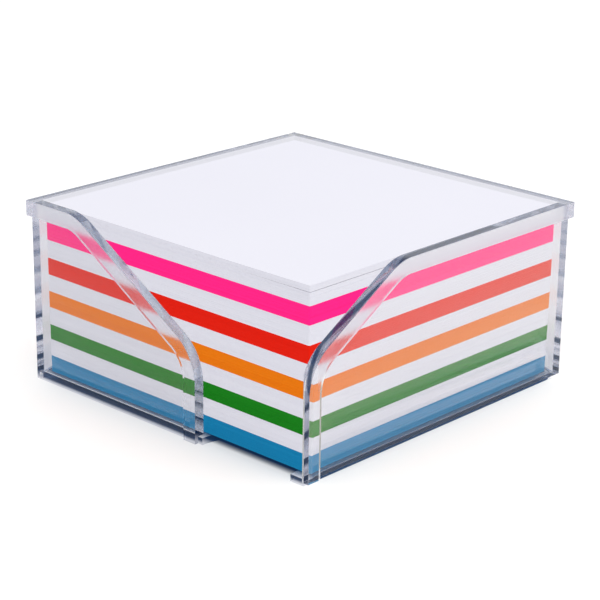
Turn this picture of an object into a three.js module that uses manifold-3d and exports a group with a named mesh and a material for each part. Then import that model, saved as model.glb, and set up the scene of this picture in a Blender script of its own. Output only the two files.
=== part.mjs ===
// A clear moulded desk holder and the half cube of loose memo paper that it holds.
// Millimetres, +Z up. The origin is on the table, under the middle of the holder.
// The front wall faces -Y and stops short. The right wall faces +X and is cut down at the near corner.
import * as THREE from "three";
import { mergeVertices } from "three/addons/utils/BufferGeometryUtils.js";
import Module from "manifold-3d";

// Paper: ten layers of one colour each, cut together to a square
const PAPER_SIDE = 90;
const SHEET_THICKNESS = 0.1;
const LOOSE_SHEETS = 12; // the sheets of the top layer that have worked loose
const LOOSE_LIFT = 0.5; // how far its edge has curled up
const LOOSE_CURL_LENGTH = 32; // how much of the sheet curls
const CURL_STEPS = 6;
const PAPER_CORNER_RADIUS = 0.3;
const LAYERS = [
  { name: "blue_sheets", colour: "#1f86c4", sheets: 45 },
  { name: "white_sheets_over_blue", colour: "#ecebf0", sheets: 45 },
  { name: "green_sheets", colour: "#1f9138", sheets: 41 },
  { name: "white_sheets_over_green", colour: "#ecebf0", sheets: 47 },
  { name: "orange_sheets", colour: "#f08a12", sheets: 44 },
  { name: "white_sheets_over_orange", colour: "#ecebf0", sheets: 45 },
  { name: "red_sheets", colour: "#e5301a", sheets: 45 },
  { name: "white_sheets_over_red", colour: "#ecebf0", sheets: 48 },
  { name: "pink_sheets", colour: "#ff3c8c", sheets: 46 },
  { name: "white_sheets_over_pink", colour: "#ecebf0", sheets: 44 },
];

// Holder: one clear moulding
const PAPER_CLEARANCE = 1.2; // from the paper to each wall
const WALL = 1.8;
const FLOOR = 1.8;
const FLOOR_FILLET = 0.8;
const RIM_OVER_PAPER = 1.2; // how far the rim stands over the block
const RIM_WIDTH = 4; // width of the thick band that borders the walls
const RIM_PROUD = 1; // how far the band stands out from the walls

// Cut-out at the near corner
const FRONT_WALL_LENGTH = 60; // from the left side to the front wall's end
const FRONT_END_HEIGHT_SHARE = 0.467; // of the holder's height, where the end meets the slope
const RIGHT_END_HEIGHT_SHARE = 0.617;
const CUT_ANGLE = THREE.MathUtils.degToRad(31); // of the slopes over the table
const END_ROUND = 13;
const TOP_ROUND = 14;

// Finger notch in the floor's front edge
const NOTCH_RADIUS = 14.5;
const NOTCH_FROM_WALL_END = 1.5; // floor left beside the front wall's end

// Step under the right, back and left walls
const STEP_DEPTH = 1.4;
const STEP_HEIGHT = 1.4;
const FOOT_CORNER_RADIUS = 2;

const ARC_STEPS = 4;
const SMALL_ARC_STEPS = 2;
const OVERRUN = 2; // how far a cutting solid runs past the faces that it cuts
const GRID = 0.001; // corners are kept on this grid, so that faces meant to be level are level
const PLASTIC_COLOUR = "#dfe3f0";

// Sizes worked out from the values above
const sheetCount = LAYERS.reduce((count, { sheets }) => count + sheets, 0);
const paperHeight = sheetCount * SHEET_THICKNESS;
const looseHeight = LOOSE_SHEETS * SHEET_THICKNESS;
const holderHeight = FLOOR + paperHeight + RIM_OVER_PAPER;
const cavityHalf = PAPER_SIDE / 2 + PAPER_CLEARANCE;
const wallHalf = cavityHalf + WALL;
const rimHalf = wallHalf + RIM_PROUD;
const footHalf = wallHalf - STEP_DEPTH;
const frontEndX = FRONT_WALL_LENGTH - wallHalf;
const reach = rimHalf + OVERRUN;

const manifold = await Module();
manifold.setup();

// A closed three.js geometry as a solid that can be joined and cut.
function solidOf(geometry) {
  const bare = geometry.clone();
  bare.deleteAttribute("normal");
  bare.deleteAttribute("uv");
  const places = bare.attributes.position.array;
  places.forEach((value, i) => {
    places[i] = Math.round(value / GRID) * GRID;
  });
  const merged = mergeVertices(bare);
  return new manifold.Manifold(
    new manifold.Mesh({
      numProp: 3,
      vertProperties: merged.attributes.position.array,
      triVerts: new Uint32Array(merged.index.array),
    }),
  );
}

function geometryOf(solid) {
  const mesh = solid.getMesh();
  const geometry = new THREE.BufferGeometry();
  geometry.setAttribute("position", new THREE.BufferAttribute(mesh.vertProperties, 3));
  geometry.setIndex(new THREE.BufferAttribute(mesh.triVerts, 1));
  const flat = geometry.toNonIndexed();
  flat.computeVertexNormals();
  return flat;
}

// A convex outline, counter-clockwise, from corners that each have a point and a radius.
function roundedOutline(corners) {
  const shape = new THREE.Shape();
  corners.forEach(({ at, radius }, i) => {
    const before = corners[(i + corners.length - 1) % corners.length].at;
    const after = corners[(i + 1) % corners.length].at;
    const back = before.clone().sub(at).normalize();
    const ahead = after.clone().sub(at).normalize();
    const half = Math.acos(THREE.MathUtils.clamp(back.dot(ahead), -1, 1)) / 2;
    if (radius === 0) {
      if (i === 0) shape.moveTo(at.x, at.y);
      else shape.lineTo(at.x, at.y);
      return;
    }
    const centre = back.clone().add(ahead).normalize();
    centre.multiplyScalar(radius / Math.sin(half)).add(at);
    const from = at.clone().addScaledVector(back, radius / Math.tan(half)).sub(centre);
    const to = at.clone().addScaledVector(ahead, radius / Math.tan(half)).sub(centre);
    shape.absarc(centre.x, centre.y, radius, from.angle(), to.angle(), false);
  });
  shape.closePath();
  return shape;
}

function corner(x, y, radius = 0) {
  return { at: new THREE.Vector2(x, y), radius };
}

// A rectangle between two corners, with one radius for all four.
function rectangle(left, bottom, right, top, radius = 0) {
  return roundedOutline([
    corner(left, bottom, radius),
    corner(right, bottom, radius),
    corner(right, top, radius),
    corner(left, top, radius),
  ]);
}

function squareOutline(half, radius = 0) {
  return rectangle(-half, -half, half, half, radius);
}

// A plan outline raised from one height to another.
function raised(shape, from, to) {
  const options = { depth: to - from, bevelEnabled: false, curveSegments: SMALL_ARC_STEPS };
  return solidOf(new THREE.ExtrudeGeometry(shape, options).translate(0, 0, from));
}

// An outline in x and z, made thick along y.
function thickAlongY(shape, from, to) {
  const options = { depth: to - from, bevelEnabled: false, curveSegments: ARC_STEPS };
  const geometry = new THREE.ExtrudeGeometry(shape, options);
  return solidOf(geometry.rotateX(Math.PI / 2).translate(0, to, 0));
}

// An outline whose first axis runs towards -Y, with z up, made thick along x.
function thickAlongX(shape, from, to) {
  const options = { depth: to - from, bevelEnabled: false, curveSegments: ARC_STEPS };
  const geometry = new THREE.ExtrudeGeometry(shape, options);
  return solidOf(
    geometry
      .rotateX(Math.PI / 2)
      .rotateZ(-Math.PI / 2)
      .translate(to, 0, 0),
  );
}

// A wall seen square on, running from the far left to its end, where it slopes down.
// inset draws its end, slope and top in alike, which gives the inner border of the band.
function wallOutline(end, endHeightShare, inset) {
  const endHeight = holderHeight * endHeightShare;
  const top = holderHeight - inset;
  const insetEnd = end - inset;
  const slopeFoot = endHeight - (inset * (1 - Math.sin(CUT_ANGLE))) / Math.cos(CUT_ANGLE);
  const slopeHead = insetEnd - (top - slopeFoot) / Math.tan(CUT_ANGLE);
  return roundedOutline([
    corner(-reach, -OVERRUN),
    corner(insetEnd, -OVERRUN),
    corner(insetEnd, slopeFoot, END_ROUND - inset),
    corner(slopeHead, top, TOP_ROUND - inset),
    corner(-reach, top),
  ]);
}

// The moulding: outer walls and rim, the bands down both cut edges, then all that is cut away.
function makeHolder() {
  const bandFoot = STEP_HEIGHT;
  const walls = raised(squareOutline(wallHalf), 0, holderHeight);
  const rim = raised(squareOutline(rimHalf), holderHeight - RIM_WIDTH, holderHeight);

  const frontFace = wallOutline(frontEndX, FRONT_END_HEIGHT_SHARE, 0);
  const frontPanel = wallOutline(frontEndX, FRONT_END_HEIGHT_SHARE, RIM_WIDTH);
  const frontBand = thickAlongY(frontFace, -rimHalf, -cavityHalf)
    .subtract(thickAlongY(frontPanel, -reach, -wallHalf))
    .intersect(raised(rectangle(-wallHalf, -reach, cavityHalf, 0), 0, holderHeight));

  const rightFace = wallOutline(rimHalf, RIGHT_END_HEIGHT_SHARE, 0);
  const rightPanel = wallOutline(rimHalf, RIGHT_END_HEIGHT_SHARE, RIM_WIDTH);
  const rightBand = thickAlongX(rightFace, cavityHalf, rimHalf)
    .subtract(thickAlongX(rightPanel, wallHalf, reach))
    .intersect(raised(rectangle(0, -reach, reach, wallHalf), bandFoot, holderHeight));

  const cavityOptions = {
    depth: holderHeight,
    bevelSize: FLOOR_FILLET,
    bevelThickness: FLOOR_FILLET,
    bevelOffset: -FLOOR_FILLET,
    bevelSegments: ARC_STEPS,
  };
  const cavity = solidOf(
    new THREE.ExtrudeGeometry(squareOutline(cavityHalf), cavityOptions).translate(0, 0, FLOOR + FLOOR_FILLET),
  );

  const filletFoot = cavityHalf - FLOOR_FILLET;
  const frontAir = raised(rectangle(-reach, -reach, cavityHalf, -filletFoot), FLOOR, holderHeight + OVERRUN)
    .subtract(thickAlongY(frontFace, -reach - OVERRUN, -filletFoot + OVERRUN));
  const rightAir = raised(rectangle(cavityHalf, -reach, reach, 0), FLOOR, holderHeight + OVERRUN)
    .subtract(thickAlongX(rightFace, cavityHalf - OVERRUN, reach + OVERRUN));

  const notchX = frontEndX + NOTCH_FROM_WALL_END + NOTCH_RADIUS;
  const notchDisc = new THREE.Shape().absarc(notchX, -wallHalf, NOTCH_RADIUS, 0, 2 * Math.PI, false);
  const notchOptions = { depth: FLOOR + OVERRUN, bevelEnabled: false, curveSegments: ARC_STEPS * 4 };
  const notch = solidOf(new THREE.ExtrudeGeometry(notchDisc, notchOptions).translate(0, 0, -OVERRUN));

  const foot = roundedOutline([
    corner(-footHalf, -reach),
    corner(footHalf, -reach),
    corner(footHalf, footHalf, FOOT_CORNER_RADIUS),
    corner(-footHalf, footHalf, FOOT_CORNER_RADIUS),
  ]);
  const step = raised(squareOutline(reach), -OVERRUN, STEP_HEIGHT)
    .subtract(raised(foot, -reach, reach))
    .subtract(raised(rectangle(-reach, -reach, 0, -cavityHalf), -reach, reach));

  return walls
    .add(rim)
    .add(frontBand)
    .add(rightBand)
    .subtract(cavity)
    .subtract(frontAir)
    .subtract(rightAir)
    .subtract(notch)
    .subtract(step);
}

// One layer of the block, cut square with its corners just broken.
function makeLayer(height) {
  const outline = squareOutline(PAPER_SIDE / 2, PAPER_CORNER_RADIUS);
  return new THREE.ExtrudeGeometry(outline, { depth: height, bevelEnabled: false, curveSegments: 2 });
}

// The loose sheets on top, seen from the front: flat, then curling up towards the right.
function makeLooseSheets() {
  const half = PAPER_SIDE / 2;
  const curlStart = half - LOOSE_CURL_LENGTH;
  const rise = (share) => LOOSE_LIFT * share * share;
  const underside = [new THREE.Vector2(-half, 0)];
  for (let i = 0; i <= CURL_STEPS; i++) {
    const share = i / CURL_STEPS;
    underside.push(new THREE.Vector2(curlStart + LOOSE_CURL_LENGTH * share, rise(share)));
  }
  const topside = underside.map(({ x, y }) => new THREE.Vector2(x, y + looseHeight)).reverse();
  const side = new THREE.Shape([...underside, ...topside]);
  const geometry = new THREE.ExtrudeGeometry(side, { depth: PAPER_SIDE, bevelEnabled: false });
  return geometry.rotateX(Math.PI / 2).translate(0, half, 0);
}

function paperMaterial(colour) {
  return new THREE.MeshStandardMaterial({ color: colour, roughness: 0.85, metalness: 0 });
}

const memoHalfCube = new THREE.Group();

const plastic = new THREE.MeshStandardMaterial({
  color: PLASTIC_COLOUR,
  roughness: 0.05,
  metalness: 0,
  transparent: true,
  opacity: 0.3,
});
const holder = new THREE.Mesh(geometryOf(makeHolder()), plastic);
holder.name = "holder";
memoHalfCube.add(holder);

const block = new THREE.Group();
block.position.z = FLOOR;
memoHalfCube.add(block);

let sheetsBelow = 0;
LAYERS.forEach(({ name, colour, sheets }, i) => {
  const isTop = i === LAYERS.length - 1;
  const lyingSheets = isTop ? sheets - LOOSE_SHEETS : sheets;
  const layer = new THREE.Mesh(makeLayer(lyingSheets * SHEET_THICKNESS), paperMaterial(colour));
  layer.name = name;
  layer.position.z = sheetsBelow * SHEET_THICKNESS;
  block.add(layer);
  sheetsBelow += sheets;
});

const looseSheets = new THREE.Mesh(makeLooseSheets(), paperMaterial(LAYERS.at(-1).colour));
looseSheets.name = "loose_top_sheets";
looseSheets.position.z = paperHeight - looseHeight;
block.add(looseSheets);

export default memoHalfCube;
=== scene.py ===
import math
import random

import bmesh
import bpy
from mathutils import Euler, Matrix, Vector


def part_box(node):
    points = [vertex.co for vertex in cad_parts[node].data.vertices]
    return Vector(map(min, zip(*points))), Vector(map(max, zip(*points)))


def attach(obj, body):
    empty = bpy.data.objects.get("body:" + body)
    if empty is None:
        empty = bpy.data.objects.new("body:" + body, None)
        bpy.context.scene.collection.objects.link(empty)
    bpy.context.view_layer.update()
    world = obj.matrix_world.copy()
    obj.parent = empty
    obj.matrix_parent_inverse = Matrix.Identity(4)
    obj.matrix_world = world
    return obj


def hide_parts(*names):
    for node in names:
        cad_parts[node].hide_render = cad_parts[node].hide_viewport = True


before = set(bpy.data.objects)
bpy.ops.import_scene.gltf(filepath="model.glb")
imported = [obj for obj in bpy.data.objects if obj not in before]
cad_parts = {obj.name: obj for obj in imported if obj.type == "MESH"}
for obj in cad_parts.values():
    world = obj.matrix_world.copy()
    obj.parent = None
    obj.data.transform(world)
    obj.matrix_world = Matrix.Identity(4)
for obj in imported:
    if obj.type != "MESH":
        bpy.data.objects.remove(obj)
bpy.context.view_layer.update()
MM = 0.001

# Camera. A long lens half a metre off, looking down at the block's near corner, so that the front and the
# right face show about equally.
CAMERA_PLACE = Vector((319.29, -341.87, 186.33)) * MM
CAMERA_YAW = math.radians(43.05)
CAMERA_PITCH = math.radians(19.41)
CAMERA_ROLL = math.radians(0.78)
PICTURE_SIDE_PX = 600
FOCAL_PX = 1930.3
SENSOR_WIDTH_MM = 36
CLIP_START = 10 * MM

camera_data = bpy.data.cameras.new("camera")
camera_data.sensor_width = SENSOR_WIDTH_MM
camera_data.lens = FOCAL_PX * SENSOR_WIDTH_MM / PICTURE_SIDE_PX
camera_data.clip_start = CLIP_START
camera = bpy.data.objects.new("camera", camera_data)
bpy.context.scene.collection.objects.link(camera)
camera.location = CAMERA_PLACE
aim = Euler((math.pi / 2 - CAMERA_PITCH, 0, CAMERA_YAW)).to_matrix()
camera.rotation_euler = (aim @ Euler((0, 0, CAMERA_ROLL)).to_matrix()).to_euler()
bpy.context.scene.camera = camera

# Holder. One clear polystyrene moulding: four walls on a floor, a thick band that follows their border,
# a corner cut away for the fingers, a notch in the floor and a foot that is stepped in under three walls.
holder_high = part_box("holder")[1]
RIM_HALF = holder_high.x
TOP = holder_high.z
RIM_PROUD = 1 * MM
RIM_WIDTH = 4 * MM
WALL_HALF = RIM_HALF - RIM_PROUD
WALL = 1.8 * MM
CAVITY_HALF = WALL_HALF - WALL
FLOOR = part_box("blue_sheets")[0].z
FLOOR_FILLET = 0.45 * MM
FRONT_WALL_LENGTH = 60 * MM
FRONT_END = FRONT_WALL_LENGTH - WALL_HALF
FRONT_END_HEIGHT = 0.467 * TOP
RIGHT_END_HEIGHT = 0.617 * TOP
CUT_ANGLE = math.radians(31)
END_ROUND = 13 * MM
TOP_ROUND = 14 * MM
NOTCH_RADIUS = 14.5 * MM
NOTCH_OFFSET = 1.5 * MM
NOTCH_MIDDLE = FRONT_END + NOTCH_OFFSET + NOTCH_RADIUS
STEP_HEIGHT = 1.4 * MM
FOOT_INSET = 1.4 * MM
FOOT_HALF = WALL_HALF - FOOT_INSET
FOOT_CORNER = 2 * MM
OVERRUN = 2 * MM
REACH = RIM_HALF + OVERRUN
EDGE_BREAK = 0.16 * MM
EDGE_BREAK_SEGMENTS = 2
EDGE_BREAK_OVER = math.radians(32)
SMOOTH_UNDER = math.radians(20)
FLAT_WITHIN = math.radians(0.6)
WELD = 0.004 * MM
ARC_SEGMENTS = 28
FILLET_SEGMENTS = 6
FOOT_SEGMENTS = 8
NOTCH_SIDES = 96
CORNER_PLAY = 0.01 * MM
LEVEL_PLAY = 0.001 * MM
DECIMALS_OF_METRE = 6


def settle(piece):
    """Keeps corners on one fine grid, so that faces meant to be level are level."""
    for vertex in piece.data.vertices:
        vertex.co = [round(c, DECIMALS_OF_METRE) for c in vertex.co]


def pick(piece):
    bpy.ops.object.select_all(action="DESELECT")
    piece.select_set(True)
    bpy.context.view_layer.objects.active = piece


def slab(name, low, high):
    low, high = Vector(low), Vector(high)
    bpy.ops.object.select_all(action="DESELECT")
    bpy.ops.mesh.primitive_cube_add(size=1, location=(low + high) / 2, scale=high - low)
    bpy.ops.object.transform_apply(location=True, rotation=False, scale=True)
    piece = bpy.context.object
    piece.name = name
    settle(piece)
    return piece


def round_edges(piece, chosen, offset, segments, profile=0.5):
    """Bevels the edges whose two ends the test accepts."""
    pick(piece)
    bpy.ops.object.mode_set(mode="EDIT")
    bpy.ops.mesh.select_mode(type="EDGE")
    bpy.ops.mesh.select_all(action="DESELECT")
    shape = bmesh.from_edit_mesh(piece.data)
    for edge in shape.edges:
        edge.select_set(all(chosen(vertex.co) for vertex in edge.verts))
    shape.select_flush_mode()
    bmesh.update_edit_mesh(piece.data)
    bpy.ops.mesh.bevel(
        offset_type="OFFSET",
        offset=offset,
        segments=segments,
        profile=profile,
        affect="EDGES",
        clamp_overlap=False,
    )
    bpy.ops.object.mode_set(mode="OBJECT")


def boolean(piece, tool, operation):
    modifier = piece.modifiers.new(operation, "BOOLEAN")
    modifier.operation = operation
    modifier.solver = "EXACT"
    modifier.object = tool
    pick(piece)
    bpy.ops.object.modifier_apply(modifier=modifier.name)
    bpy.data.objects.remove(tool)


def join(piece, tool):
    boolean(piece, tool, "UNION")


def cut(piece, tool):
    boolean(piece, tool, "DIFFERENCE")


def sloped_wall(name, along, low, high, end_height, inset=0.0):
    """A wall with its far end cut to a slope and both corners of the cut rounded. An inset moves the slope
    in, for the panel that the band goes round."""
    wall = slab(name, low, high)
    end = Vector(high).dot(along) if sum(along) > 0 else Vector(low).dot(along)
    top = Vector(high).z
    turn_at_end = math.pi / 2 - CUT_ANGLE
    slope_foot = end_height - inset * (1 - math.sin(CUT_ANGLE)) / math.cos(CUT_ANGLE)
    slope_head = end - (top - slope_foot) / math.tan(CUT_ANGLE)
    bpy.ops.object.mode_set(mode="EDIT")
    bpy.ops.mesh.select_all(action="SELECT")
    bpy.ops.mesh.bisect(
        plane_co=along * end + Vector((0, 0, slope_foot)),
        plane_no=along * math.sin(CUT_ANGLE) + Vector((0, 0, math.cos(CUT_ANGLE))),
        use_fill=True,
        clear_outer=True,
    )
    bpy.ops.object.mode_set(mode="OBJECT")
    corners = (
        (end, slope_foot, END_ROUND - inset, turn_at_end),
        (slope_head, top, TOP_ROUND - inset, CUT_ANGLE),
    )
    for place, height, radius, turn in corners:
        near = along * place + Vector((0, 0, height))
        across = Vector((1, 1, 0)) - Vector((abs(along.x), abs(along.y), 0))

        def at_corner(co):
            away = co - near
            return (away - Vector((away.x * across.x, away.y * across.y, 0))).length < CORNER_PLAY

        # The profile puts the middle of the bevel on a true arc.
        half_turn = turn / 2
        round_edges(
            wall,
            at_corner,
            radius * math.tan(half_turn),
            ARC_SEGMENTS,
            (1 - 0.5 / (1 + math.cos(half_turn))) ** 2,
        )
    settle(wall)
    return wall


RIGHTWARD = Vector((1, 0, 0))
FORWARD = Vector((0, -1, 0))
WALL_MIDDLE = WALL_HALF - WALL / 2

moulding = slab("clear_holder", (-WALL_HALF, -WALL_HALF, 0), (WALL_HALF, WALL_HALF, TOP))
join(moulding, slab("rim", (-RIM_HALF, -RIM_HALF, TOP - RIM_WIDTH), (RIM_HALF, RIM_HALF, TOP)))

front_band = sloped_wall(
    "front_band",
    RIGHTWARD,
    (-WALL_HALF, -RIM_HALF, 0),
    (FRONT_END, -WALL_MIDDLE, TOP),
    FRONT_END_HEIGHT,
)
cut(
    front_band,
    sloped_wall(
        "front_panel",
        RIGHTWARD,
        (-REACH, -REACH, -OVERRUN),
        (FRONT_END - RIM_WIDTH, -WALL_HALF, TOP - RIM_WIDTH),
        FRONT_END_HEIGHT,
        RIM_WIDTH,
    ),
)
join(moulding, front_band)

right_band = sloped_wall(
    "right_band",
    FORWARD,
    (WALL_MIDDLE, -RIM_HALF, STEP_HEIGHT),
    (RIM_HALF, WALL_HALF, TOP),
    RIGHT_END_HEIGHT,
)
cut(
    right_band,
    sloped_wall(
        "right_panel",
        FORWARD,
        (WALL_HALF, -RIM_HALF + RIM_WIDTH, -OVERRUN),
        (REACH, REACH, TOP - RIM_WIDTH),
        RIGHT_END_HEIGHT,
        RIM_WIDTH,
    ),
)
join(moulding, right_band)

cavity = slab("cavity", (-CAVITY_HALF, -CAVITY_HALF, FLOOR), (CAVITY_HALF, CAVITY_HALF, TOP + OVERRUN))
round_edges(cavity, lambda co: abs(co.z - FLOOR) < LEVEL_PLAY, FLOOR_FILLET, FILLET_SEGMENTS)
settle(cavity)
cut(moulding, cavity)

front_air = slab(
    "front_air", (-REACH, -REACH, FLOOR), (CAVITY_HALF, -CAVITY_HALF + FLOOR_FILLET, TOP + OVERRUN)
)
front_keep = sloped_wall(
    "front_keep",
    RIGHTWARD,
    (-REACH - OVERRUN, -REACH - OVERRUN, -OVERRUN),
    (FRONT_END, 0, TOP),
    FRONT_END_HEIGHT,
)
cut(front_air, front_keep)
cut(moulding, front_air)

right_air = slab("right_air", (CAVITY_HALF, -REACH, FLOOR), (REACH, 0, TOP + OVERRUN))
right_keep = sloped_wall(
    "right_keep", FORWARD, (0, -RIM_HALF, -OVERRUN), (REACH + OVERRUN, REACH, TOP), RIGHT_END_HEIGHT
)
cut(right_air, right_keep)
cut(moulding, right_air)

bpy.ops.object.select_all(action="DESELECT")
bpy.ops.mesh.primitive_cylinder_add(
    vertices=NOTCH_SIDES,
    radius=NOTCH_RADIUS,
    depth=2 * (FLOOR + OVERRUN),
    location=(NOTCH_MIDDLE, -WALL_HALF, 0),
)
bpy.ops.object.transform_apply()
notch = bpy.context.object
settle(notch)
cut(moulding, notch)

step = slab("step", (-REACH, -REACH, -OVERRUN), (REACH, REACH, STEP_HEIGHT))
foot = slab("foot", (-FOOT_HALF, -REACH - OVERRUN, -2 * OVERRUN), (FOOT_HALF, FOOT_HALF, 2 * OVERRUN))
round_edges(foot, lambda co: abs(co.y - FOOT_HALF) < LEVEL_PLAY, FOOT_CORNER, FOOT_SEGMENTS)
settle(foot)
cut(step, foot)
front_foot = slab(
    "front_foot", (-REACH - OVERRUN, -REACH - OVERRUN, -2 * OVERRUN), (0, -CAVITY_HALF, 2 * OVERRUN)
)
cut(step, front_foot)
cut(moulding, step)

# The tool that moulds the holder leaves every edge slightly broken, and its faces polished.
pick(moulding)
bpy.ops.object.mode_set(mode="EDIT")
bpy.ops.mesh.select_all(action="SELECT")
bpy.ops.mesh.remove_doubles(threshold=WELD)
bpy.ops.mesh.dissolve_limited(angle_limit=FLAT_WITHIN)
bpy.ops.mesh.normals_make_consistent(inside=False)
bpy.ops.object.mode_set(mode="OBJECT")
edge_break = moulding.modifiers.new("edge_break", "BEVEL")
edge_break.width = EDGE_BREAK
edge_break.segments = EDGE_BREAK_SEGMENTS
edge_break.limit_method = "ANGLE"
edge_break.angle_limit = EDGE_BREAK_OVER
edge_break.use_clamp_overlap = True
bpy.ops.object.modifier_apply(modifier=edge_break.name)
bpy.ops.object.shade_smooth_by_angle(angle=SMOOTH_UNDER)

# One looks into the top, the sloping edges and the ends of the walls lengthwise, so they look greyer. This
# grey is painted shade in the base colour of these faces.
LEVEL_SHADE_SHARE = 0.85
SLOPED_SHADE_SHARE = 0.25
END_SHADE_SHARE = 0.75
FACE_PLAY = 0.3 * MM
LEVEL_NORMAL = 0.9
UPWARD_NORMAL = 0.15

edge_shade_share = moulding.data.attributes.new("edge_shade_share", "FLOAT", "FACE")
for face in moulding.data.polygons:
    place = face.center
    if place.z <= FLOOR + MM:
        continue
    at_front_end = abs(place.x - FRONT_END) < FACE_PLAY and place.y < -CAVITY_HALF
    at_right_end = place.x > CAVITY_HALF and place.y < -RIM_HALF + FACE_PLAY
    if face.normal.z > LEVEL_NORMAL:
        edge_shade_share.data[face.index].value = LEVEL_SHADE_SHARE
    elif face.normal.z > UPWARD_NORMAL:
        edge_shade_share.data[face.index].value = SLOPED_SHADE_SHARE
    elif at_front_end or at_right_end:
        edge_shade_share.data[face.index].value = END_SHADE_SHARE


def add_math(tree, operation, *values):
    """Adds a math node. Its values are numbers or the outputs of other nodes."""
    node = tree.nodes.new("ShaderNodeMath")
    node.operation = operation
    for number, value in enumerate(values):
        if isinstance(value, bpy.types.NodeSocket):
            tree.links.new(value, node.inputs[number])
        else:
            node.inputs[number].default_value = value
    return node.outputs[0]


def add_range(tree, value, low, high, new_low=0, new_high=1):
    """Adds a node that turns one range of values into another and stops at its ends."""
    node = tree.nodes.new("ShaderNodeMapRange")
    node.inputs["From Min"].default_value = low
    node.inputs["From Max"].default_value = high
    node.inputs["To Min"].default_value = new_low
    node.inputs["To Max"].default_value = new_high
    tree.links.new(value, node.inputs["Value"])
    return node.outputs["Result"]


def add_colour_mix(tree, share, first, second):
    """Adds a node that goes from the first colour to the second. Both are colours or outputs of nodes."""
    node = tree.nodes.new("ShaderNodeMix")
    node.data_type = "RGBA"
    tree.links.new(share, node.inputs["Factor"])
    for name, colour in (("A", first), ("B", second)):
        if isinstance(colour, bpy.types.NodeSocket):
            tree.links.new(colour, node.inputs[name])
        else:
            node.inputs[name].default_value = (*colour, 1)
    return node.outputs["Result"]


CLEAR = (0.985, 0.988, 0.995)
EDGE_PAINTED_SHADE = (0.17, 0.20, 0.29)
PLASTIC_INDEX = 1.58
TONER = (0.70, 0.71, 0.77)
TONER_DENSITY = 7
SMEAR_SCALE = 55
SMEAR_DETAIL = 5
SMEARS_BETWEEN = (0.35, 0.75)
DULL_BETWEEN = (0.02, 0.05)
BAND_HAZE = 0.42
BAND_HAZE_START = 14 * MM
BAND_HAZE_FULL = 30 * MM
FLOW_SCALE = 28
FLOW_DETAIL = 1
RIPPLE_STRENGTH = 0.06
RIPPLE_DEPTH = 0.01 * MM


def tinted_plastic():
    """Clear moulded polystyrene with the faint blue toner that such plastic is made with, and painted shade
    on the faces one looks into lengthwise.
    """
    material = bpy.data.materials.new("clear_polystyrene")
    material.use_nodes = True
    tree = material.node_tree
    nodes, links = tree.nodes, tree.links
    shader, output = nodes["Principled BSDF"], nodes["Material Output"]
    shader.inputs["Metallic"].default_value = 0
    shader.inputs["Transmission Weight"].default_value = 1
    shader.inputs["IOR"].default_value = PLASTIC_INDEX
    # Painted shade: the base colour goes towards grey-blue on the faces that the attribute lists.
    edge = nodes.new("ShaderNodeAttribute")
    edge.attribute_name = "edge_shade_share"
    shaded_base = add_colour_mix(tree, edge.outputs["Fac"], CLEAR, EDGE_PAINTED_SHADE)
    links.new(shaded_base, shader.inputs["Base Color"])

    place = nodes.new("ShaderNodeTexCoord")
    smears = nodes.new("ShaderNodeTexNoise")
    smears.inputs["Scale"].default_value = SMEAR_SCALE
    smears.inputs["Detail"].default_value = SMEAR_DETAIL
    links.new(place.outputs["Object"], smears.inputs["Vector"])
    dullness = add_range(tree, smears.outputs["Fac"], *SMEARS_BETWEEN, *DULL_BETWEEN)

    # The proud faces of the front and the right band are hazy, more so higher up.
    parts = nodes.new("ShaderNodeSeparateXYZ")
    links.new(place.outputs["Object"], parts.inputs["Vector"])
    front_reach = add_math(tree, "MULTIPLY", parts.outputs["Y"], -1)
    band_reach = add_math(tree, "MAXIMUM", front_reach, parts.outputs["X"])
    proud = add_math(tree, "GREATER_THAN", band_reach, RIM_HALF - FACE_PLAY)
    from_middle = [add_math(tree, "ABSOLUTE", parts.outputs[axis]) for axis in "XY"]
    nearer = add_math(tree, "MINIMUM", *from_middle)
    off_corner = add_math(tree, "LESS_THAN", nearer, CAVITY_HALF)
    on_band = add_math(tree, "MULTIPLY", proud, off_corner)
    band_haze = add_range(tree, parts.outputs["Z"], BAND_HAZE_START, BAND_HAZE_FULL, 0, BAND_HAZE)
    haze = add_math(tree, "MULTIPLY_ADD", on_band, band_haze, dullness)
    links.new(haze, shader.inputs["Roughness"])

    flow = nodes.new("ShaderNodeTexNoise")
    flow.inputs["Scale"].default_value = FLOW_SCALE
    flow.inputs["Detail"].default_value = FLOW_DETAIL
    links.new(place.outputs["Object"], flow.inputs["Vector"])
    ripple = nodes.new("ShaderNodeBump")
    ripple.inputs["Strength"].default_value = RIPPLE_STRENGTH
    ripple.inputs["Distance"].default_value = RIPPLE_DEPTH
    links.new(flow.outputs["Fac"], ripple.inputs["Height"])
    links.new(ripple.outputs["Normal"], shader.inputs["Normal"])

    toner = nodes.new("ShaderNodeVolumeAbsorption")
    toner.inputs["Color"].default_value = (*TONER, 1)
    toner.inputs["Density"].default_value = TONER_DENSITY
    links.new(toner.outputs["Volume"], output.inputs["Volume"])

    # Light on its way to paper and table goes straight through, as clear walls cast next to no shadow.
    rays = nodes.new("ShaderNodeLightPath")
    passing = add_math(tree, "MAXIMUM", rays.outputs["Is Shadow Ray"], rays.outputs["Is Diffuse Ray"])
    straight_on = nodes.new("ShaderNodeBsdfTransparent")
    straight_on.inputs["Color"].default_value = (1, 1, 1, 1)
    either = nodes.new("ShaderNodeMixShader")
    links.new(passing, either.inputs["Fac"])
    links.new(shader.outputs["BSDF"], either.inputs[1])
    links.new(straight_on.outputs["BSDF"], either.inputs[2])
    links.new(either.outputs["Shader"], output.inputs["Surface"])
    return material


moulding.data.materials.clear()
moulding.data.materials.append(tinted_plastic())
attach(moulding, "holder")
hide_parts("holder")

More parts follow.
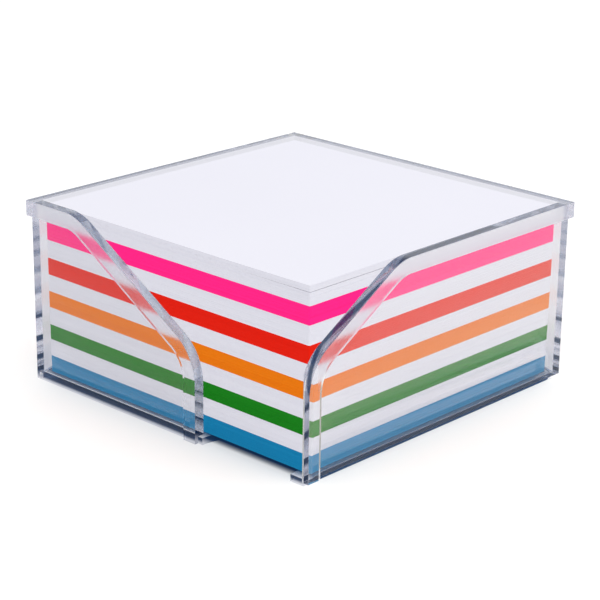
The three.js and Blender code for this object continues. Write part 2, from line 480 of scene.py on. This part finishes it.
# Memo paper. Ten layers of loose sheets, each dyed right through or left white, stacked and cut together
# on a guillotine. A layer is a pile of single sheets that lie some hundredths of a millimetre out of line.
SHEET = 0.1 * MM
SHEET_GAP_SHARE = 0.12
SHEET_PLAY = 0.03 * MM
PAPER_AIR = 0.03 * MM
LAYER_AIR = 0.004 * MM
CORNER_WEAR = 0.3 * MM
CORNER_STEPS = 2


def outline_of_sheet(name, low, high, columns=1):
    """One flat sheet with its four corners just broken, a little inside the box that it has."""
    size = Vector((high.x - low.x - 2 * SHEET_PLAY, high.y - low.y - 2 * SHEET_PLAY, 1))
    middle = Vector(((low.x + high.x) / 2, (low.y + high.y) / 2, low.z))
    bpy.ops.object.select_all(action="DESELECT")
    bpy.ops.mesh.primitive_grid_add(x_subdivisions=columns, y_subdivisions=1, size=1, location=middle)
    piece = bpy.context.object
    piece.name = name
    piece.scale = size
    bpy.ops.object.transform_apply()
    bpy.ops.object.mode_set(mode="EDIT")
    bpy.ops.mesh.select_mode(type="VERT")
    bpy.ops.mesh.select_all(action="DESELECT")
    shape = bmesh.from_edit_mesh(piece.data)
    for vertex in shape.verts:
        vertex.select_set(len(vertex.link_edges) == 2)
    bmesh.update_edit_mesh(piece.data)
    bpy.ops.mesh.bevel(offset=CORNER_WEAR, segments=CORNER_STEPS, affect="VERTICES")
    bpy.ops.mesh.select_all(action="SELECT")
    bpy.ops.object.mode_set(mode="OBJECT")
    return piece


def pile_up(piece, height, chance):
    """Raises a sheet's outline into a pile. An edge goes straight up, then steps over to the next sheet."""
    count = max(1, round(height / SHEET))
    thickness = height / count
    gap = thickness * SHEET_GAP_SHARE
    drift = Vector((0, 0, 0))
    pick(piece)
    bpy.ops.object.mode_set(mode="EDIT")
    bpy.ops.mesh.select_all(action="SELECT")
    for sheet in range(count):
        rise = thickness if sheet == count - 1 else thickness - gap
        bpy.ops.mesh.extrude_region_move(TRANSFORM_OT_translate={"value": (0, 0, rise)})
        if sheet < count - 1:
            goal = Vector((chance.uniform(-1, 1), chance.uniform(-1, 1), 0)) * SHEET_PLAY
            shift = goal - drift
            drift = goal
            bpy.ops.mesh.extrude_region_move(TRANSFORM_OT_translate={"value": (shift.x, shift.y, gap)})
    bpy.ops.mesh.select_all(action="SELECT")
    bpy.ops.mesh.normals_make_consistent(inside=False)
    bpy.ops.object.mode_set(mode="OBJECT")


# The marks on cut paper are stretched noise. Each scale tells how many lie in a metre along X, Y and Z.
SHEET_STREAKS = (18, 18, 4200)
BLADE_STREAKS = (900, 900, 25)
FIBRES = (1500, 1500, 1500)
CLOUDS = (35, 35, 60)
STREAK_DETAIL = 2
FIBRE_DETAIL = 4
CLOUD_DETAIL = 3
BLADE_SHARE = 0.35
CLOUD_SHARE = 0.5
FIBRE_AND_CLOUD_SHARE = 0.45
MIDDLE_TONE = 0.5
PAPER_ROUGHNESS = (0.68, 0.88)
PAPER_SPECULAR = 0.1
GRAIN_STRENGTH = 0.25
GRAIN_DEPTH = 0.02 * MM


def cut_paper_group():
    """Colours cut paper: sheet edges that differ a little in tone, guillotine marks and loose fibres."""
    group = bpy.data.node_groups.new("cut_paper", "ShaderNodeTree")
    sockets = group.interface
    sockets.new_socket("Dye", in_out="INPUT", socket_type="NodeSocketColor")
    sockets.new_socket("Sheet Tone", in_out="INPUT", socket_type="NodeSocketFloat")
    sockets.new_socket("Color", in_out="OUTPUT", socket_type="NodeSocketColor")
    sockets.new_socket("Roughness", in_out="OUTPUT", socket_type="NodeSocketFloat")
    sockets.new_socket("Height", in_out="OUTPUT", socket_type="NodeSocketFloat")
    nodes, links = group.nodes, group.links
    given, put_out = nodes.new("NodeGroupInput"), nodes.new("NodeGroupOutput")
    place = nodes.new("ShaderNodeTexCoord")

    def streaks(scale, detail):
        stretch = nodes.new("ShaderNodeMapping")
        stretch.inputs["Scale"].default_value = scale
        links.new(place.outputs["Object"], stretch.inputs["Vector"])
        noise = nodes.new("ShaderNodeTexNoise")
        noise.inputs["Scale"].default_value = 1
        noise.inputs["Detail"].default_value = detail
        links.new(stretch.outputs["Vector"], noise.inputs["Vector"])
        return noise.outputs["Fac"]

    def blended(a, b, share):
        mix = nodes.new("ShaderNodeMix")
        mix.inputs["Factor"].default_value = share
        links.new(a, mix.inputs["A"])
        links.new(b, mix.inputs["B"])
        return mix.outputs["Result"]

    fibres = streaks(FIBRES, FIBRE_DETAIL)
    cut_marks = blended(
        streaks(SHEET_STREAKS, STREAK_DETAIL), streaks(BLADE_STREAKS, STREAK_DETAIL), BLADE_SHARE
    )
    pulp = blended(fibres, streaks(CLOUDS, CLOUD_DETAIL), CLOUD_SHARE)
    tone = blended(cut_marks, pulp, FIBRE_AND_CLOUD_SHARE)
    centred = add_math(group, "SUBTRACT", tone, MIDDLE_TONE)
    strength = add_math(group, "MULTIPLY_ADD", centred, given.outputs["Sheet Tone"], 1)
    toned = nodes.new("ShaderNodeVectorMath")
    toned.operation = "SCALE"
    links.new(given.outputs["Dye"], toned.inputs[0])
    links.new(strength, toned.inputs["Scale"])
    links.new(toned.outputs["Vector"], put_out.inputs["Color"])
    links.new(add_range(group, fibres, 0, 1, *PAPER_ROUGHNESS), put_out.inputs["Roughness"])
    links.new(tone, put_out.inputs["Height"])
    return group


cut_paper = cut_paper_group()


def dyed_paper(name, dye, sheet_tone):
    material = bpy.data.materials.new(name)
    material.use_nodes = True
    nodes, links = material.node_tree.nodes, material.node_tree.links
    shader = nodes["Principled BSDF"]
    paper = nodes.new("ShaderNodeGroup")
    paper.node_tree = cut_paper
    paper.inputs["Dye"].default_value = (*dye, 1)
    paper.inputs["Sheet Tone"].default_value = sheet_tone
    links.new(paper.outputs["Color"], shader.inputs["Base Color"])
    links.new(paper.outputs["Roughness"], shader.inputs["Roughness"])
    grain = nodes.new("ShaderNodeBump")
    grain.inputs["Strength"].default_value = GRAIN_STRENGTH
    grain.inputs["Distance"].default_value = GRAIN_DEPTH
    links.new(paper.outputs["Height"], grain.inputs["Height"])
    links.new(grain.outputs["Normal"], shader.inputs["Normal"])
    shader.inputs["Specular IOR Level"].default_value = PAPER_SPECULAR
    return material


# Each dye's colour, and how strongly the tone varies from sheet to sheet.
DYES = {
    "white": ((0.70, 0.70, 0.775), 0.06),
    "blue": ((0.004, 0.205, 0.42), 0.14),
    "green": ((0.006, 0.20, 0.007), 0.14),
    "orange": ((0.78, 0.185, 0.001), 0.12),
    "red": ((0.74, 0.010, 0.001), 0.14),
    "pink": ((0.98, 0.016, 0.245), 0.10),
}
papers = {colour: dyed_paper(colour + "_memo_paper", *dye) for colour, dye in DYES.items()}
LAYERS = (
    ("blue_sheets", "blue"),
    ("white_sheets_over_blue", "white"),
    ("green_sheets", "green"),
    ("white_sheets_over_green", "white"),
    ("orange_sheets", "orange"),
    ("white_sheets_over_orange", "white"),
    ("red_sheets", "red"),
    ("white_sheets_over_red", "white"),
    ("pink_sheets", "pink"),
    ("white_sheets_over_pink", "white"),
)


def dress(piece, node, colour):
    piece.data.materials.clear()
    piece.data.materials.append(papers[colour])
    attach(piece, node)
    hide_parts(node)


for order, (node, colour) in enumerate(LAYERS):
    low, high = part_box(node)
    low.z += PAPER_AIR if order == 0 else LAYER_AIR
    pile = outline_of_sheet(node.replace("sheets", "memo_sheets"), low, high)
    pile_up(pile, high.z - low.z, random.Random(order))
    dress(pile, node, colour)

# Loose top sheets. The dozen sheets on the very top have worked loose and curl up a little on the right,
# which leaves a thin dark gap over the rest of the block.
CURL_LENGTH = 32 * MM
CURL_LIFT = 0.12 * MM
CURL_COLUMNS = 45

low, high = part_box("loose_top_sheets")
low.z += LAYER_AIR
top_sheets = outline_of_sheet("loose_memo_sheets", low, high, CURL_COLUMNS)
pile_up(top_sheets, high.z - low.z - CURL_LIFT, random.Random(len(LAYERS)))
pick(top_sheets)
bpy.ops.object.mode_set(mode="EDIT")
bpy.ops.mesh.select_mode(type="VERT")
curl_start = high.x - CURL_LENGTH
column = (high.x - low.x) / CURL_COLUMNS
reached = 0.0
for step in range(1, CURL_COLUMNS + 1):
    place = low.x + column * (step - 0.5)
    share = (place + column / 2 - curl_start) / CURL_LENGTH
    if share <= 0:
        continue
    lift = CURL_LIFT * min(share, 1) ** 2
    bpy.ops.mesh.select_all(action="DESELECT")
    shape = bmesh.from_edit_mesh(top_sheets.data)
    for vertex in shape.verts:
        vertex.select_set(vertex.co.x > place)
    bmesh.update_edit_mesh(top_sheets.data)
    bpy.ops.transform.translate(value=(0, 0, lift - reached))
    reached = lift
bpy.ops.object.mode_set(mode="OBJECT")
dress(top_sheets, "loose_top_sheets", "white")

# Studio. A white table that runs out of sight, a pale light tent all round, and one broad lamp high up
# on the right. The table is a hair higher than the holder's underside, so no light gets in between.
TABLE_HALF = 3.0
TABLE_PARTS = 8
TABLE_CONTACT = 0.02 * MM
TABLE_ROUGHNESS = 0.9
TABLE_WHITE = (0.80, 0.80, 0.80)
TABLE_LIFT = 0.16
LIFT_COLOUR = (1, 1, 1)

# A ray whose diffuse depth is below this has met no dull surface yet, so it shows what is seen.
FIRST_BOUNCE = 0.5

# The contact shadow, painted into the table's colour: navy along the block's edge, paler under its middle,
# wider under the stepped walls.
TABLE_PAINTED_SHADOW = (0.03, 0.055, 0.11)
TABLE_PAINTED_HALF_SHADE = (0.50, 0.51, 0.55)
MIDDLE_EDGE = 28 * MM
MIDDLE_END = 39.5 * MM
SHADE_FULL = 43.0 * MM
SHADE_EDGE = 45.6 * MM
PLASTIC_SHADE = 1.3 * MM
STEP_SHADE = 1.5 * MM
SHADE_TINT = (0.02, 0.10, 0.30)

# Painted reflection tones: the table's colour where it is seen in the plastic and mirrored in the outer
# faces of the front and the right wall.
TABLE_IN_PLASTIC = (0.52, 0.52, 0.57)
TABLE_IN_FRONT_WALL = (0.21, 0.21, 0.19)
TABLE_IN_RIGHT_WALL = (0.66, 0.64, 0.58)
MIRROR_BLEND = 4 * MM
LONG_WAY_BOUNCES = 8
LONG_WAY_SHARE = 0.75
LONG_WAY_LIGHT = (0.62, 0.63, 0.72)


def after_long_way(tree, rays, colour):
    """Paints what is seen after many bounces inside the plastic partly over with one steady light colour,
    which evens it out.
    """
    long_way = add_math(tree, "GREATER_THAN", rays.outputs["Ray Depth"], LONG_WAY_BOUNCES)
    share = add_math(tree, "MULTIPLY", long_way, LONG_WAY_SHARE)
    return add_colour_mix(tree, share, colour, LONG_WAY_LIGHT)


bpy.ops.object.select_all(action="DESELECT")
bpy.ops.mesh.primitive_grid_add(
    x_subdivisions=TABLE_PARTS,
    y_subdivisions=TABLE_PARTS,
    size=2 * TABLE_HALF,
    location=(0, 0, TABLE_CONTACT),
)
bpy.ops.object.transform_apply()
table = bpy.context.object
table.name = "table"
table_material = bpy.data.materials.new("white_table")
table_material.use_nodes = True
tree = table_material.node_tree
nodes, links = tree.nodes, tree.links
shader = nodes["Principled BSDF"]
shader.inputs["Roughness"].default_value = TABLE_ROUGHNESS
shader.inputs["Specular IOR Level"].default_value = 0
rays = nodes.new("ShaderNodeLightPath")
in_plastic = rays.outputs["Is Glossy Ray"]
place = nodes.new("ShaderNodeTexCoord")
parts = nodes.new("ShaderNodeSeparateXYZ")
links.new(place.outputs["Object"], parts.inputs["Vector"])

# How far out a spot is, which places the painted shadow. It counts as nearer the middle under the stepped
# walls, and seen in the plastic.
x_reach = add_math(tree, "ABSOLUTE", parts.outputs["X"])
x_reach = add_math(tree, "SUBTRACT", x_reach, STEP_SHADE)
x_reach = add_math(tree, "MULTIPLY_ADD", in_plastic, -PLASTIC_SHADE - STEP_SHADE, x_reach)
y_reach = add_math(tree, "SUBTRACT", parts.outputs["Y"], STEP_SHADE / 2)
y_reach = add_math(tree, "ABSOLUTE", y_reach)
y_reach = add_math(tree, "SUBTRACT", y_reach, STEP_SHADE / 2)
y_reach = add_math(tree, "MULTIPLY_ADD", in_plastic, -PLASTIC_SHADE, y_reach)
reach = add_math(tree, "MAXIMUM", x_reach, y_reach)
open_share = add_range(tree, reach, SHADE_FULL, SHADE_EDGE)
toward_edge = add_range(tree, reach, MIDDLE_EDGE, MIDDLE_END)

# The table is lifted a little where it is seen, and lights nothing by it. In the painted shadow the lift is
# a painted blue glow.
seen = add_math(tree, "LESS_THAN", rays.outputs["Diffuse Depth"], FIRST_BOUNCE)
lift = add_math(tree, "MULTIPLY", seen, TABLE_LIFT)
links.new(lift, shader.inputs["Emission Strength"])
glow = add_colour_mix(tree, open_share, SHADE_TINT, LIFT_COLOUR)
links.new(glow, shader.inputs["Emission Color"])

# The open table is white, painted greyer where it is seen in the plastic, and given a painted reflection
# tone where an outer face mirrors it.
open_table = add_colour_mix(tree, in_plastic, TABLE_WHITE, TABLE_IN_PLASTIC)
for axis, edge, beyond, painted_mirror_tone in (
    ("Y", -WALL_HALF, -WALL_HALF - MIRROR_BLEND, TABLE_IN_FRONT_WALL),
    ("X", WALL_HALF, WALL_HALF + MIRROR_BLEND, TABLE_IN_RIGHT_WALL),
):
    outside = add_range(tree, parts.outputs[axis], edge, beyond)
    mirrored = add_math(tree, "MULTIPLY", outside, in_plastic)
    open_table = add_colour_mix(tree, mirrored, open_table, painted_mirror_tone)
painted_shadow = add_colour_mix(tree, toward_edge, TABLE_PAINTED_HALF_SHADE, TABLE_PAINTED_SHADOW)
shaded_table = add_colour_mix(tree, open_share, painted_shadow, open_table)
links.new(after_long_way(tree, rays, shaded_table), shader.inputs["Base Color"])
table.data.materials.append(table_material)

# The tent lights everything evenly. Seen in the plastic it is white low down and blue-grey overhead.
TENT_LIGHT = (1.10, 1.10, 1.10)
TENT_SEEN = (1, 1, 1)
TENT_DARK = (0.30, 0.33, 0.45)
TENT_DARK_START = 0.42
TENT_DARK_FULL = 0.62

world = bpy.data.worlds.new("light_tent")
world.use_nodes = True
bpy.context.scene.world = world
tree = world.node_tree
nodes, links = tree.nodes, tree.links
rays = nodes.new("ShaderNodeLightPath")
direction = nodes.new("ShaderNodeTexCoord")
parts = nodes.new("ShaderNodeSeparateXYZ")
links.new(direction.outputs["Generated"], parts.inputs["Vector"])
height = add_range(tree, parts.outputs["Z"], TENT_DARK_START, TENT_DARK_FULL)
seen_tent = add_colour_mix(tree, height, TENT_SEEN, TENT_DARK)
straight = add_colour_mix(tree, rays.outputs["Is Camera Ray"], seen_tent, TENT_SEEN)
calm_tent = after_long_way(tree, rays, straight)
lit = add_math(tree, "GREATER_THAN", rays.outputs["Diffuse Depth"], FIRST_BOUNCE)
tent = add_colour_mix(tree, lit, calm_tent, TENT_LIGHT)
links.new(tent, nodes["Background"].inputs["Color"])

LAMP_SIDE = 0.9
LAMP_WATTS = 2.9
LAMP_COLOUR = (1, 0.97, 0.88)
LAMP_PLACE = Vector((0.55, 0.05, 1.0))

lamp_data = bpy.data.lights.new("softbox", "AREA")
lamp_data.shape = "RECTANGLE"
lamp_data.size = LAMP_SIDE
lamp_data.size_y = LAMP_SIDE
lamp_data.energy = LAMP_WATTS
lamp_data.color = LAMP_COLOUR
lamp = bpy.data.objects.new("softbox", lamp_data)
bpy.context.scene.collection.objects.link(lamp)
lamp.location = LAMP_PLACE
lamp.rotation_euler = (-LAMP_PLACE).to_track_quat("-Z", "Y").to_euler()
lamp.visible_camera = False

# Light is followed for long, because it runs along inside the walls from end to end.
MOST_BOUNCES = 128
MOST_REFLECTIONS = 96
MOST_REFRACTIONS = 48

scene = bpy.context.scene
scene.view_settings.view_transform = "Standard"
scene.cycles.max_bounces = MOST_BOUNCES
scene.cycles.blur_glossy = 0
scene.cycles.glossy_bounces = MOST_REFLECTIONS
scene.cycles.transmission_bounces = MOST_REFRACTIONS
